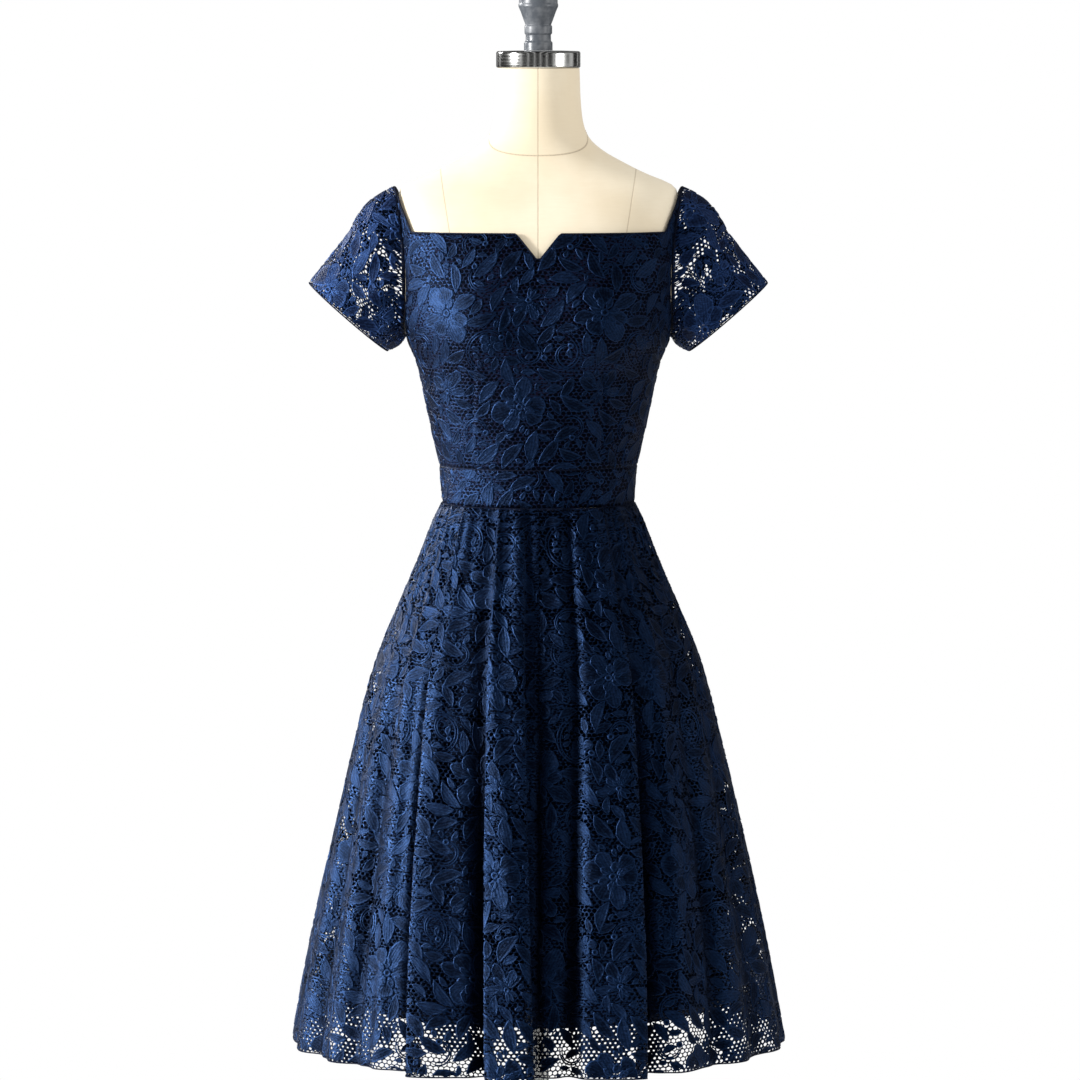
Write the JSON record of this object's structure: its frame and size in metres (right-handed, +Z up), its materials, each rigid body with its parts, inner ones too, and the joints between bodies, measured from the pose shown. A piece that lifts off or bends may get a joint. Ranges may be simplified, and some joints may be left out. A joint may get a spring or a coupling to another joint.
{
  "type": "cocktail dress on a limbless dress form",
  "caption": "Knee-length lace cocktail dress with cap sleeves, notched straight neckline, set-in waistband and pleated lined skirt, worn by a limbless dress form on a round base.",
  "frame": {"origin": "middle of the stand's flat underside, on the floor", "axes": "+Z up, the front of the dress faces -Y, +X towards the wearer's left side"},
  "size_m": [0.588, 0.5413, 1.6725],
  "materials": {
    "lace": "navy floral lace on a net ground, matt with a slight sheen on its raised cords",
    "mounted_lace": "navy floral lace mounted on a dark purple-navy lining",
    "lining": "dark navy satin lining, soft sheen",
    "zip_tape": "navy woven tape",
    "zip_metal": "navy enamelled metal",
    "canvas": "cream canvas, matt, fine weave",
    "polished_steel": "polished steel with fine turning marks",
    "grey_paint": "satin grey paint on turned wood",
    "painted_steel": "satin grey paint, lightly worn at the rim"
  },
  "bodies": {
    "dress": {"bodice_front": "mounted_lace", "bodice_back_left": "mounted_lace", "bodice_back_right": "mounted_lace", "waistband_front": "mounted_lace", "waistband_back_left": "mounted_lace", "waistband_back_right": "mounted_lace", "sleeve_left": "lace", "sleeve_right": "lace", "skirt_front": "lace", "skirt_back_left": "lace", "skirt_back_right": "lace", "lining_front": "lining", "lining_back_left": "lining", "lining_back_right": "lining", "zip_tape": "zip_tape", "zip_slider": "zip_metal", "form_torso": "canvas", "form_neck_cap": "polished_steel", "form_finial": "grey_paint", "form_collar": "polished_steel", "form_pole": "polished_steel", "form_base": "painted_steel"},
    "pull": {"zip_pull": "zip_metal"}
  },
  "joints": [
    {"name": "pull_swing", "type": "hinge", "parent": "dress", "child": "pull", "pos_m": [0, 0.11675, 1.319], "axis": [1, 0, 0], "range_deg": [0, 150]}
  ]
}
